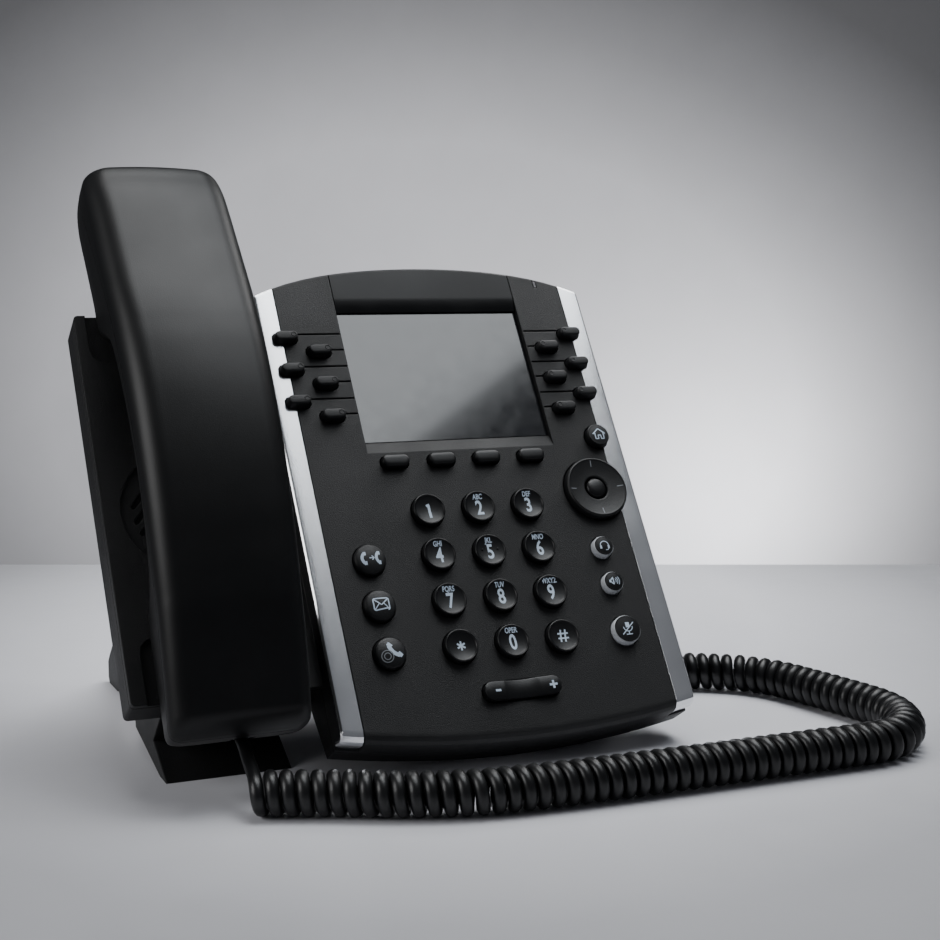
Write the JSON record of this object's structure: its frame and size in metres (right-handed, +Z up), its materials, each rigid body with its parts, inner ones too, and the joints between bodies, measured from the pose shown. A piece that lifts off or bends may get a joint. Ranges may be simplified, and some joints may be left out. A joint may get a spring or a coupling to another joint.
{
  "type": "desk ip phone",
  "caption": "Desk telephone with a sloping keypad and display console, a lift-off handset on a coiled cord, and a rear desk stand.",
  "frame": {"origin": "middle of the footprint of the phone without its cord, on the desk", "axes": "+X to the user's right, +Y away from the user, +Z up"},
  "size_m": [0.2715, 0.2235, 0.1997],
  "materials": {
    "body_plastic": "fine matte grain",
    "header_plastic": "smooth satin",
    "key_plastic": "satin gloss",
    "translucent_plastic": "smoked translucent",
    "handset_plastic": "satin",
    "silver_trim": "satin silver paint",
    "display_glass": "polished",
    "display_panel": "matt",
    "circuit_board": "solder mask",
    "indicator": "clear red",
    "speaker_cone": "paper and steel",
    "silicone": "matt",
    "plug_plastic": "clear",
    "microphone_can": "bare",
    "cord_rubber": "satin"
  },
  "bodies": {
    "base": {"front_housing": "body_plastic", "rear_housing": "body_plastic", "header_strip": "header_plastic", "trim_left": "silver_trim", "trim_right": "silver_trim", "message_light": "indicator", "display_window": "display_glass", "display_module": "display_panel", "main_board": "circuit_board", "loudspeaker": "speaker_cone", "desk_stand": "body_plastic", "base_plug": "plug_plastic", "handset_cord_coil": "cord_rubber", "handset_cord_upper_tail": "cord_rubber", "handset_cord_lower_tail": "cord_rubber"},
    "handset": {"handset_outer_shell": "handset_plastic", "handset_inner_shell": "handset_plastic", "handset_receiver": "speaker_cone", "handset_microphone": "microphone_can", "handset_plug": "plug_plastic"},
    "hook_switch": {"hook_switch": "header_plastic"},
    "navigation_dome": {"navigation_dome": "silicone"},
    "navigation_ring": {"navigation_ring": "key_plastic"},
    "select_key": {"select_key": "key_plastic"},
    "volume_rocker": {"volume_rocker": "key_plastic"},
    "key_1": {"key_1": "key_plastic"},
    "key_2": {"key_2": "key_plastic"},
    "key_3": {"key_3": "key_plastic"},
    "key_4": {"key_4": "key_plastic"},
    "key_5": {"key_5": "key_plastic"},
    "key_6": {"key_6": "key_plastic"},
    "key_7": {"key_7": "key_plastic"},
    "key_8": {"key_8": "key_plastic"},
    "key_9": {"key_9": "key_plastic"},
    "key_star": {"key_star": "key_plastic"},
    "key_0": {"key_0": "key_plastic"},
    "key_pound": {"key_pound": "key_plastic"},
    "transfer_key": {"transfer_key": "key_plastic"},
    "messages_key": {"messages_key": "key_plastic"},
    "hold_key": {"hold_key": "key_plastic"},
    "home_key": {"home_key": "key_plastic"},
    "headset_key": {"headset_key": "translucent_plastic"},
    "speaker_key": {"speaker_key": "translucent_plastic"},
    "mute_key": {"mute_key": "translucent_plastic"},
    "soft_key_1": {"soft_key_1": "key_plastic"},
    "soft_key_2": {"soft_key_2": "key_plastic"},
    "soft_key_3": {"soft_key_3": "key_plastic"},
    "soft_key_4": {"soft_key_4": "key_plastic"},
    "line_key_left_1": {"line_key_left_1": "key_plastic"},
    "line_key_left_2": {"line_key_left_2": "key_plastic"},
    "line_key_left_3": {"line_key_left_3": "key_plastic"},
    "line_key_left_4": {"line_key_left_4": "key_plastic"},
    "line_key_left_5": {"line_key_left_5": "key_plastic"},
    "line_key_left_6": {"line_key_left_6": "key_plastic"},
    "line_key_right_1": {"line_key_right_1": "key_plastic"},
    "line_key_right_2": {"line_key_right_2": "key_plastic"},
    "line_key_right_3": {"line_key_right_3": "key_plastic"},
    "line_key_right_4": {"line_key_right_4": "key_plastic"},
    "line_key_right_5": {"line_key_right_5": "key_plastic"},
    "line_key_right_6": {"line_key_right_6": "key_plastic"}
  },
  "joints": [
    {"name": "handset_lift", "type": "slide", "parent": "base", "child": "handset", "axis": [0, -0.8356, 0.5493], "range_m": [0, 0.12]},
    {"name": "hook_travel", "type": "slide", "parent": "base", "child": "hook_switch", "axis": [0, -0.8356, 0.5493], "range_m": [0, 0.003]},
    {"name": "navigation_up_down", "type": "hinge", "parent": "base", "child": "navigation_dome", "pos_m": [0.0798, -0.03644, 0.08408], "axis": [1, 0, 0], "range_deg": [-3, 3], "stiffness_Nm_per_rad": 0.05},
    {"name": "navigation_left_right", "type": "hinge", "parent": "navigation_dome", "child": "navigation_ring", "pos_m": [0.0798, -0.03644, 0.08408], "axis": [0, 0.5493, 0.8356], "range_deg": [-3, 3], "stiffness_Nm_per_rad": 0.05},
    {"name": "select_press", "type": "slide", "parent": "base", "child": "select_key", "axis": [0, -0.8356, 0.5493], "range_m": [-0.001, 0], "stiffness_N_per_m": 300},
    {"name": "volume_rock", "type": "hinge", "parent": "base", "child": "volume_rocker", "pos_m": [0.0316, -0.07588, 0.02408], "axis": [0, 0.5493, 0.8356], "range_deg": [-3, 3], "stiffness_Nm_per_rad": 0.05},
    {"name": "key_1_press", "type": "slide", "parent": "base", "child": "key_1", "axis": [0, -0.8356, 0.5493], "range_m": [-0.001, 0], "stiffness_N_per_m": 300},
    {"name": "key_2_press", "type": "slide", "parent": "base", "child": "key_2", "axis": [0, -0.8356, 0.5493], "range_m": [-0.001, 0], "stiffness_N_per_m": 300},
    {"name": "key_3_press", "type": "slide", "parent": "base", "child": "key_3", "axis": [0, -0.8356, 0.5493], "range_m": [-0.001, 0], "stiffness_N_per_m": 300},
    {"name": "key_4_press", "type": "slide", "parent": "base", "child": "key_4", "axis": [0, -0.8356, 0.5493], "range_m": [-0.001, 0], "stiffness_N_per_m": 300},
    {"name": "key_5_press", "type": "slide", "parent": "base", "child": "key_5", "axis": [0, -0.8356, 0.5493], "range_m": [-0.001, 0], "stiffness_N_per_m": 300},
    {"name": "key_6_press", "type": "slide", "parent": "base", "child": "key_6", "axis": [0, -0.8356, 0.5493], "range_m": [-0.001, 0], "stiffness_N_per_m": 300},
    {"name": "key_7_press", "type": "slide", "parent": "base", "child": "key_7", "axis": [0, -0.8356, 0.5493], "range_m": [-0.001, 0], "stiffness_N_per_m": 300},
    {"name": "key_8_press", "type": "slide", "parent": "base", "child": "key_8", "axis": [0, -0.8356, 0.5493], "range_m": [-0.001, 0], "stiffness_N_per_m": 300},
    {"name": "key_9_press", "type": "slide", "parent": "base", "child": "key_9", "axis": [0, -0.8356, 0.5493], "range_m": [-0.001, 0], "stiffness_N_per_m": 300},
    {"name": "key_star_press", "type": "slide", "parent": "base", "child": "key_star", "axis": [0, -0.8356, 0.5493], "range_m": [-0.001, 0], "stiffness_N_per_m": 300},
    {"name": "key_0_press", "type": "slide", "parent": "base", "child": "key_0", "axis": [0, -0.8356, 0.5493], "range_m": [-0.001, 0], "stiffness_N_per_m": 300},
    {"name": "key_pound_press", "type": "slide", "parent": "base", "child": "key_pound", "axis": [0, -0.8356, 0.5493], "range_m": [-0.001, 0], "stiffness_N_per_m": 300},
    {"name": "transfer_key_press", "type": "slide", "parent": "base", "child": "transfer_key", "axis": [0, -0.8356, 0.5493], "range_m": [-0.001, 0], "stiffness_N_per_m": 300},
    {"name": "messages_key_press", "type": "slide", "parent": "base", "child": "messages_key", "axis": [0, -0.8356, 0.5493], "range_m": [-0.001, 0], "stiffness_N_per_m": 300},
    {"name": "hold_key_press", "type": "slide", "parent": "base", "child": "hold_key", "axis": [0, -0.8356, 0.5493], "range_m": [-0.001, 0], "stiffness_N_per_m": 300},
    {"name": "home_key_press", "type": "slide", "parent": "base", "child": "home_key", "axis": [0, -0.8356, 0.5493], "range_m": [-0.001, 0], "stiffness_N_per_m": 300},
    {"name": "headset_key_press", "type": "slide", "parent": "base", "child": "headset_key", "axis": [0, -0.8356, 0.5493], "range_m": [-0.001, 0], "stiffness_N_per_m": 300},
    {"name": "speaker_key_press", "type": "slide", "parent": "base", "child": "speaker_key", "axis": [0, -0.8356, 0.5493], "range_m": [-0.001, 0], "stiffness_N_per_m": 300},
    {"name": "mute_key_press", "type": "slide", "parent": "base", "child": "mute_key", "axis": [0, -0.8356, 0.5493], "range_m": [-0.001, 0], "stiffness_N_per_m": 300},
    {"name": "soft_key_1_press", "type": "slide", "parent": "base", "child": "soft_key_1", "axis": [0, -0.8356, 0.5493], "range_m": [-0.001, 0], "stiffness_N_per_m": 300},
    {"name": "soft_key_2_press", "type": "slide", "parent": "base", "child": "soft_key_2", "axis": [0, -0.8356, 0.5493], "range_m": [-0.001, 0], "stiffness_N_per_m": 300},
    {"name": "soft_key_3_press", "type": "slide", "parent": "base", "child": "soft_key_3", "axis": [0, -0.8356, 0.5493], "range_m": [-0.001, 0], "stiffness_N_per_m": 300},
    {"name": "soft_key_4_press", "type": "slide", "parent": "base", "child": "soft_key_4", "axis": [0, -0.8356, 0.5493], "range_m": [-0.001, 0], "stiffness_N_per_m": 300},
    {"name": "line_key_left_1_press", "type": "slide", "parent": "base", "child": "line_key_left_1", "axis": [0, -0.8356, 0.5493], "range_m": [-0.001, 0], "stiffness_N_per_m": 300},
    {"name": "line_key_left_2_press", "type": "slide", "parent": "base", "child": "line_key_left_2", "axis": [0, -0.8356, 0.5493], "range_m": [-0.001, 0], "stiffness_N_per_m": 300},
    {"name": "line_key_left_3_press", "type": "slide", "parent": "base", "child": "line_key_left_3", "axis": [0, -0.8356, 0.5493], "range_m": [-0.001, 0], "stiffness_N_per_m": 300},
    {"name": "line_key_left_4_press", "type": "slide", "parent": "base", "child": "line_key_left_4", "axis": [0, -0.8356, 0.5493], "range_m": [-0.001, 0], "stiffness_N_per_m": 300},
    {"name": "line_key_left_5_press", "type": "slide", "parent": "base", "child": "line_key_left_5", "axis": [0, -0.8356, 0.5493], "range_m": [-0.001, 0], "stiffness_N_per_m": 300},
    {"name": "line_key_left_6_press", "type": "slide", "parent": "base", "child": "line_key_left_6", "axis": [0, -0.8356, 0.5493], "range_m": [-0.001, 0], "stiffness_N_per_m": 300},
    {"name": "line_key_right_1_press", "type": "slide", "parent": "base", "child": "line_key_right_1", "axis": [0, -0.8356, 0.5493], "range_m": [-0.001, 0], "stiffness_N_per_m": 300},
    {"name": "line_key_right_2_press", "type": "slide", "parent": "base", "child": "line_key_right_2", "axis": [0, -0.8356, 0.5493], "range_m": [-0.001, 0], "stiffness_N_per_m": 300},
    {"name": "line_key_right_3_press", "type": "slide", "parent": "base", "child": "line_key_right_3", "axis": [0, -0.8356, 0.5493], "range_m": [-0.001, 0], "stiffness_N_per_m": 300},
    {"name": "line_key_right_4_press", "type": "slide", "parent": "base", "child": "line_key_right_4", "axis": [0, -0.8356, 0.5493], "range_m": [-0.001, 0], "stiffness_N_per_m": 300},
    {"name": "line_key_right_5_press", "type": "slide", "parent": "base", "child": "line_key_right_5", "axis": [0, -0.8356, 0.5493], "range_m": [-0.001, 0], "stiffness_N_per_m": 300},
    {"name": "line_key_right_6_press", "type": "slide", "parent": "base", "child": "line_key_right_6", "axis": [0, -0.8356, 0.5493], "range_m": [-0.001, 0], "stiffness_N_per_m": 300}
  ],
  "couplings": [
    {"joint": "hook_travel", "follows": "handset_lift", "ratio": 0.025}
  ]
}
